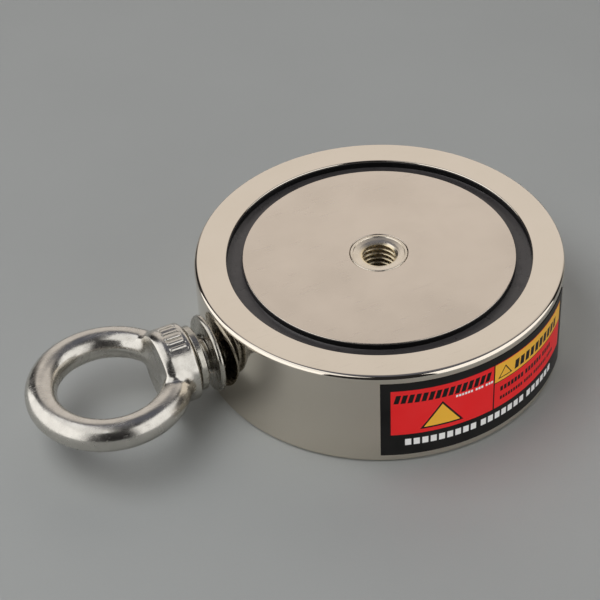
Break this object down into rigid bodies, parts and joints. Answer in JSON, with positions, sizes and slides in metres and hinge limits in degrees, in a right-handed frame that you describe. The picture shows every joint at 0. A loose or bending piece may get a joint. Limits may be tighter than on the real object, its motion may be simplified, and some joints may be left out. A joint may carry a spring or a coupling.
{
  "type": "magnet fishing magnet",
  "caption": "Round double-sided pot magnet in a plated steel shell, with tapped centre bushes and a screw-in eye bolt and washers in its side for a retrieving rope.",
  "frame": {"origin": "on the body's axis, at the centre of the lower working face's rim plane, where the body rests", "axes": "+Z along the body's axis to the upper face; the eye bolt points along -X at half the body's height"},
  "size_m": [0.1428, 0.0941, 0.028],
  "materials": {
    "nickel_shell": "mirror nickel plating",
    "nickel_disc": "polished nickel plating",
    "nickel_bush": "bright nickel plating",
    "magnet_core": "plated sintered magnet",
    "potting_resin": "cast black resin",
    "bond_film": "cured adhesive",
    "collar_plastic": "moulded",
    "label_print": "printed film",
    "stainless_eye": "tumbled stainless steel",
    "washer_steel": "zinc plating"
  },
  "bodies": {
    "magnet_body": {"steel_shell": "nickel_shell", "label": "label_print", "upper_bond_film": "bond_film", "upper_magnet": "magnet_core", "upper_pole_disc": "nickel_disc", "upper_resin_ring": "potting_resin", "upper_centring_collar": "collar_plastic", "upper_threaded_bush": "nickel_bush", "lower_bond_film": "bond_film", "lower_magnet": "magnet_core", "lower_pole_disc": "nickel_disc", "lower_resin_ring": "potting_resin", "lower_centring_collar": "collar_plastic", "lower_threaded_bush": "nickel_bush"},
    "flat_washer_body": {"flat_washer": "washer_steel"},
    "spring_washer_body": {"spring_washer": "washer_steel"},
    "eye_bolt_body": {"eye_bolt": "stainless_eye"}
  },
  "joints": [
    {"name": "flat_washer_slide", "type": "slide", "parent": "magnet_body", "child": "flat_washer_body", "axis": [-1, 0, 0], "range_m": [-0.00082, 0.00303]},
    {"name": "eye_bolt_travel", "type": "slide", "parent": "magnet_body", "child": "spring_washer_body", "axis": [-1, 0, 0], "range_m": [-0.00296, 0.01101]},
    {"name": "eye_bolt_turn", "type": "hinge", "parent": "spring_washer_body", "child": "eye_bolt_body", "pos_m": [-0.075, 0, 0.014], "axis": [-1, 0, 0], "range_deg": [-708, 2640]}
  ],
  "couplings": [
    {"joint": "eye_bolt_travel", "follows": "eye_bolt_turn", "m_per_rad": 0.00023873},
    {"joint": "flat_washer_slide", "follows": "eye_bolt_turn", "m_per_rad": 0.00006555}
  ]
}
